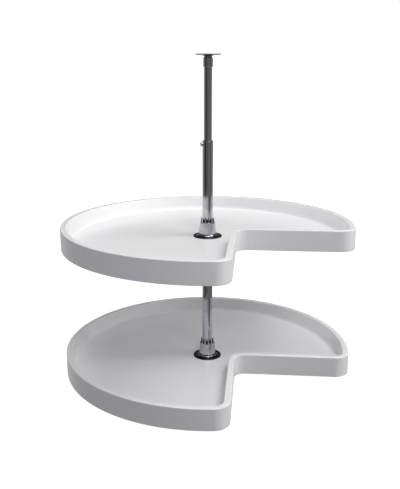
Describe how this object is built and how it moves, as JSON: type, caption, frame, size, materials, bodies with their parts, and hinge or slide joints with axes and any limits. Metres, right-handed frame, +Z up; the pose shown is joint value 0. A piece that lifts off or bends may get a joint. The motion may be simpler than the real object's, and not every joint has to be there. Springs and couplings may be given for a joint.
{
  "type": "corner carousel",
  "caption": "Corner cabinet carousel: kidney-shaped trays with raised hollow rims turn on a telescoping chromed post and lock at height with notched collars.",
  "frame": {"origin": "centre of the floor plate's underside, on the post's axis", "axes": "+Z up along the post; the notch of both trays opens towards +X and -Y"},
  "size_m": [0.711, 0.711, 0.787],
  "materials": {
    "chrome": "polished",
    "white_polymer": "satin",
    "black_polymer": "satin",
    "nylon": "natural"
  },
  "bodies": {
    "stand": {"floor_plate": "chrome", "socket_grub_screw": "chrome", "outer_tube": "chrome", "guide_bush": "chrome", "lock_boss": "chrome"},
    "lock_screw": {"lock_screw": "chrome"},
    "extension": {"inner_tube": "chrome", "foot_bush": "nylon", "top_cap": "chrome", "top_plate": "chrome"},
    "upper_hub": {"upper_collet": "black_polymer", "upper_thrust_washer": "nylon"},
    "upper_collar": {"upper_lock_collar": "chrome"},
    "upper_shelf": {"upper_tray": "white_polymer", "upper_hub_plate": "black_polymer", "upper_ring_nut": "black_polymer"},
    "lower_hub": {"lower_collet": "black_polymer", "lower_thrust_washer": "nylon"},
    "lower_collar": {"lower_lock_collar": "chrome"},
    "lower_shelf": {"lower_tray": "white_polymer", "lower_hub_plate": "black_polymer", "lower_ring_nut": "black_polymer"}
  },
  "joints": [
    {"name": "post_extension", "type": "slide", "parent": "stand", "child": "extension", "axis": [0, 0, 1], "range_m": [-0.127, 0.02]},
    {"name": "lock_screw_turn", "type": "hinge", "parent": "stand", "child": "lock_screw", "pos_m": [0, 0, 0.58642], "axis": [-0.8754, -0.2346, -0.4226], "range_deg": [0, 360]},
    {"name": "upper_hub_slide", "type": "slide", "parent": "stand", "child": "upper_hub", "axis": [0, 0, 1], "range_m": [-0.1, 0.15]},
    {"name": "upper_tray_turn", "type": "hinge", "parent": "upper_hub", "child": "upper_shelf", "pos_m": [0, 0, 0.355], "axis": [0, 0, 1], "continuous": true},
    {"name": "upper_collar_twist", "type": "hinge", "parent": "upper_hub", "child": "upper_collar", "pos_m": [0, 0, 0.381], "axis": [0, 0, 1], "range_deg": [0, 60]},
    {"name": "lower_hub_slide", "type": "slide", "parent": "stand", "child": "lower_hub", "axis": [0, 0, 1], "range_m": [-0.006, 0.1]},
    {"name": "lower_tray_turn", "type": "hinge", "parent": "lower_hub", "child": "lower_shelf", "pos_m": [0, 0, 0.039], "axis": [0, 0, 1], "continuous": true},
    {"name": "lower_collar_twist", "type": "hinge", "parent": "lower_hub", "child": "lower_collar", "pos_m": [0, 0, 0.065], "axis": [0, 0, 1], "range_deg": [0, 60]}
  ]
}
